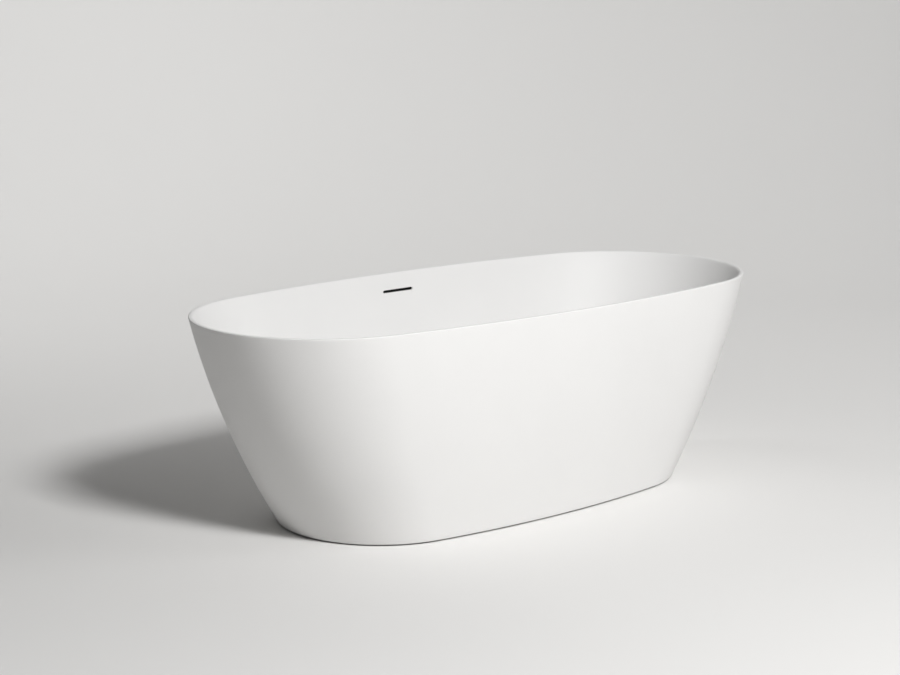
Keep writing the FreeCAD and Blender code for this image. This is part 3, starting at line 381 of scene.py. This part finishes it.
def new_material(name, color, roughness, metallic=0.0, **sockets):
    material = bpy.data.materials.new(name)
    material.use_nodes = True
    shader = material.node_tree.nodes["Principled BSDF"]
    shader.inputs["Base Color"].default_value = (*color, 1)
    shader.inputs["Roughness"].default_value = roughness
    shader.inputs["Metallic"].default_value = metallic
    for socket, number in sockets.items():
        shader.inputs[socket.replace("_", " ")].default_value = number
    return material


def node(material, kind, **settings):
    made = material.node_tree.nodes.new(kind)
    for name, number in settings.items():
        if name in made.inputs:
            made.inputs[name].default_value = number
        else:
            setattr(made, name, number)
    return made


def link(material, start, socket, end, target):
    material.node_tree.links.new(start.outputs[socket], end.inputs[target])


def place(material, stretch=(1, 1, 1)):
    """The surface's own place in the bath's frame, in metres, stretched along its axes."""
    coordinates = node(material, "ShaderNodeTexCoord")
    mapping = node(material, "ShaderNodeMapping", Scale=stretch)
    link(material, coordinates, "Object", mapping, "Vector")
    return mapping


def noise(material, scale, detail=4.0, stretch=(1, 1, 1)):
    made = node(material, "ShaderNodeTexNoise", Scale=scale, Detail=detail)
    link(material, place(material, stretch), "Vector", made, "Vector")
    return made


def spread(material, source, low, high, socket):
    """The source, from 0 to 1, drives a socket of the shader from low to high."""
    made = node(material, "ShaderNodeMapRange")
    made.inputs["To Min"].default_value = low
    made.inputs["To Max"].default_value = high
    link(material, source, 0, made, "Value")
    shader = material.node_tree.nodes["Principled BSDF"]
    link(material, made, "Result", shader, socket)


def tint(material, source, stops):
    """The source picks the base colour from stops of (place, colour)."""
    ramp = node(material, "ShaderNodeValToRGB")
    elements = ramp.color_ramp.elements
    while len(elements) < len(stops):
        elements.new(0.5)
    for element, (position, color) in zip(elements, stops):
        element.position = position
        element.color = (*color, 1)
    link(material, source, 0, ramp, "Fac")
    shader = material.node_tree.nodes["Principled BSDF"]
    link(material, ramp, "Color", shader, "Base Color")


def bumps(material, layers):
    """Fine relief: each layer is a texture and its height in metres."""
    shader = material.node_tree.nodes["Principled BSDF"]
    before = None
    for source, height in layers:
        bump = node(material, "ShaderNodeBump", Distance=height)
        link(material, source, 0, bump, "Height")
        if before:
            link(material, before, "Normal", bump, "Normal")
        before = bump
    link(material, before, "Normal", shader, "Normal")


def shade(color, factor):
    return tuple(part * factor for part in color)


def mottled(name, color, roughness, metallic=0.0, contrast=0.06, scale=30.0, grain=900.0,
            grain_height=0.00002, stretch=(1, 1, 1), **sockets):
    """A finish with slow colour and gloss variation and a fine grain."""
    material = new_material(name, color, roughness, metallic, **sockets)
    slow = noise(material, scale, 3.0, stretch)
    fine = noise(material, grain, 2.0, stretch)
    tint(material, slow, [(0.3, shade(color, 1 - contrast)), (0.7, shade(color, 1 + contrast))])
    spread(material, slow, roughness * 0.85, roughness * 1.15, "Roughness")
    bumps(material, [(fine, grain_height)])
    return material


def shell_white():
    """Matt cast surface: almost even white, a faint orange peel and a silky grain."""
    color = (0.755, 0.75, 0.741)
    material = new_material("shell_white", color, 0.6, Specular_IOR_Level=0.35)
    slow = noise(material, 4.0, 2.0)
    peel = noise(material, 160.0, 2.0)
    grain = noise(material, 1400.0, 2.0)
    tint(material, slow, [(0.35, shade(color, 0.993)), (0.65, shade(color, 1.007))])
    spread(material, peel, 0.56, 0.64, "Roughness")
    bumps(material, [(peel, 0.00002), (grain, 0.000008)])
    return material


def board_wood():
    """Birch plywood: long grain on the faces and thin glue lines round the edge, in gloss and relief only.
    """
    material = new_material("board_wood", (0.6, 0.44, 0.28), 0.62)
    grain = noise(material, 30.0, 6.0, (1, 14, 14))
    plies = node(material, "ShaderNodeTexWave", wave_type="BANDS", bands_direction="Z", Scale=160.0,
                 Distortion=1.2)
    link(material, place(material), "Vector", plies, "Vector")
    both = node(material, "ShaderNodeMath", operation="MULTIPLY")
    link(material, grain, 0, both, 0)
    link(material, plies, 1, both, 1)
    tint(material, grain, [(0.3, (0.5, 0.34, 0.2)), (0.5, (0.63, 0.46, 0.29)), (0.7, (0.72, 0.55, 0.37))])
    spread(material, both, 0.55, 0.7, "Roughness")
    bumps(material, [(grain, 0.0002), (plies, 0.0001)])
    return material


def turned_metal(name, color, roughness, ring_scale=700.0, **sockets):
    """Bare machined metal: fine turning rings round each piece's upright axis, and slow gloss changes."""
    material = new_material(name, color, roughness, 1.0, **sockets)
    rings = node(material, "ShaderNodeTexWave", wave_type="BANDS", bands_direction="Z", Scale=ring_scale,
                 Distortion=0.6)
    link(material, place(material), "Vector", rings, "Vector")
    slow = noise(material, 60.0, 3.0)
    tint(material, slow, [(0.3, shade(color, 0.94)), (0.7, shade(color, 1.05))])
    spread(material, slow, roughness * 0.8, roughness * 1.25, "Roughness")
    bumps(material, [(rings, 0.00001)])
    return material


def zinc_plated(name, color):
    """Zinc on pressed or drawn steel: cloudy, with a fine grain along the piece."""
    return mottled(name, color, 0.38, 1.0, contrast=0.1, scale=45.0, grain=1200.0,
                   grain_height=0.00001, stretch=(1, 1, 0.3))


MATERIALS = {
    "shell_white": shell_white(),
    "board_wood": board_wood(),
    "frame_steel": mottled("frame_steel", (0.09, 0.095, 0.1), 0.48, contrast=0.05, scale=20.0,
                           grain=700.0, grain_height=0.00006),
    "bracket_zinc": zinc_plated("bracket_zinc", (0.66, 0.67, 0.68)),
    "zinc_steel": zinc_plated("zinc_steel", (0.62, 0.62, 0.6)),
    "black_plastic": mottled("black_plastic", (0.02, 0.02, 0.021), 0.5, contrast=0.15, grain_height=0.00004),
    "black_rubber": mottled("black_rubber", (0.012, 0.012, 0.012), 0.8, contrast=0.25, scale=60.0,
                            grain=500.0, grain_height=0.00008),
    "chrome_trim": turned_metal("chrome_trim", (0.86, 0.86, 0.87), 0.07, 900.0),
    "brass_turned": turned_metal("brass_turned", (0.75, 0.56, 0.26), 0.28),
    "stainless": turned_metal("stainless", (0.72, 0.72, 0.73), 0.25),
    "grey_hose": mottled("grey_hose", (0.3, 0.31, 0.32), 0.55, contrast=0.08),
    "white_fitting": mottled("white_fitting", (0.78, 0.78, 0.76), 0.4, contrast=0.03, grain_height=0.00003),
}


def finish_all(pieces):
    """Each CAD piece takes the material of its slot in the record."""
    for part in frame["record"]["subparts"]:
        material = MATERIALS[part["material_slot"]]
        mesh = frame["nodes"][part["node"]].data
        mesh.materials.clear()
        mesh.materials.append(material)
    for piece in pieces:
        piece.data.materials.append(MATERIALS[piece["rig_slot"]])


# ---- floor, light and camera ----------------------------------------------------------------------------

def make_backdrop():
    """A seamless pale sheet: floor, a wide bend and a wall behind the bath, square to the camera."""
    half_width, near, far, height, bend = 14.0, -12.0, 7.5, 9.0, 4.5
    profile = [(near, 0.0)] + [(y, 0.0) for y in between(-4.0, far - bend, 6)]
    for angle in between(0, QUARTER, 24)[1:]:
        profile.append((far - bend + bend * math.sin(angle), bend - bend * math.cos(angle)))
    profile.append((far, height))
    bm = bmesh.new()
    rows = [[bm.verts.new((x, y, z)) for x in (-half_width, half_width)] for y, z in profile]
    for low, high in zip(rows, rows[1:]):
        bm.faces.new((low[0], low[1], high[1], high[0]))
    for face in bm.faces:
        face.smooth = True
    mesh = bpy.data.meshes.new("backdrop")
    bm.to_mesh(mesh)
    bm.free()
    backdrop = bpy.data.objects.new("backdrop", mesh)
    bpy.context.scene.collection.objects.link(backdrop)
    backdrop.rotation_euler.z = -CAMERA_HEADING
    mesh.materials.append(mottled("backdrop_paper", BACKDROP_COLOR, 0.85, contrast=0.004, scale=0.6,
                                  grain=60.0, grain_height=0.0001))


def aim(obj, target):
    obj.rotation_euler = (Vector(target) - obj.location).to_track_quat("-Z", "Y").to_euler()


def area_light(name, location, target, size, watts):
    data = bpy.data.lights.new(name, "AREA")
    data.shape = "SQUARE"
    data.size = size
    data.energy = watts
    light = bpy.data.objects.new(name, data)
    light.location = location
    bpy.context.scene.collection.objects.link(light)
    aim(light, target)


def camera_frame(right, forward, up):
    """A place given from the bath's centre, to the camera's right, away from it, and up."""
    across = Vector((math.cos(CAMERA_HEADING), -math.sin(CAMERA_HEADING), 0))
    along = Vector((math.sin(CAMERA_HEADING), math.cos(CAMERA_HEADING), 0))
    return across * right + along * forward + Vector((0, 0, up))


def make_camera():
    data = bpy.data.cameras.new("camera")
    data.lens = CAMERA_LENS
    data.sensor_width = 36.0
    camera = bpy.data.objects.new("camera", data)
    camera.location = CAMERA_PLACE
    camera.rotation_euler = (QUARTER - math.radians(CAMERA_PITCH), 0, -CAMERA_HEADING)
    bpy.context.scene.collection.objects.link(camera)
    bpy.context.scene.camera = camera


def make_light():
    middle = (0, 0, 0.3)
    area_light("key", camera_frame(2.7, -4.4, 4.65), middle, 1.4, 430)
    area_light("side", camera_frame(3.95, -1.05, 3.7), middle, 1.4, 22)
    area_light("left_fill", camera_frame(-4.7, -2.7, 1.4), middle, 2.2, 13)
    area_light("back_fill", camera_frame(0, 3.5, 4.2), middle, 4.0, 10)
    area_light("wall_left", camera_frame(-3.0, 1.5, 5.0), camera_frame(-3.5, 7.5, 2.5), 2.0, 190)
    area_light("wall_right", camera_frame(3.0, 1.5, 5.0), camera_frame(3.5, 7.5, 2.5), 2.0, 76)
    world = bpy.data.worlds.new("studio")
    world.use_nodes = True
    nodes, links = world.node_tree.nodes, world.node_tree.links
    background = nodes["Background"]
    background.inputs["Color"].default_value = (1, 1, 1, 1)
    path = nodes.new("ShaderNodeLightPath")
    strength = nodes.new("ShaderNodeMapRange")
    strength.inputs["To Min"].default_value = WORLD_SEEN
    strength.inputs["To Max"].default_value = WORLD_GLOW
    links.new(path.outputs["Is Diffuse Ray"], strength.inputs["Value"])
    links.new(strength.outputs["Result"], background.inputs["Strength"])
    bpy.context.scene.world = world
    bpy.context.scene.view_settings.view_transform = "Standard"


make_backdrop()
make_camera()
make_light()
finish_all([make_skirt(), make_basin(), make_hose()])
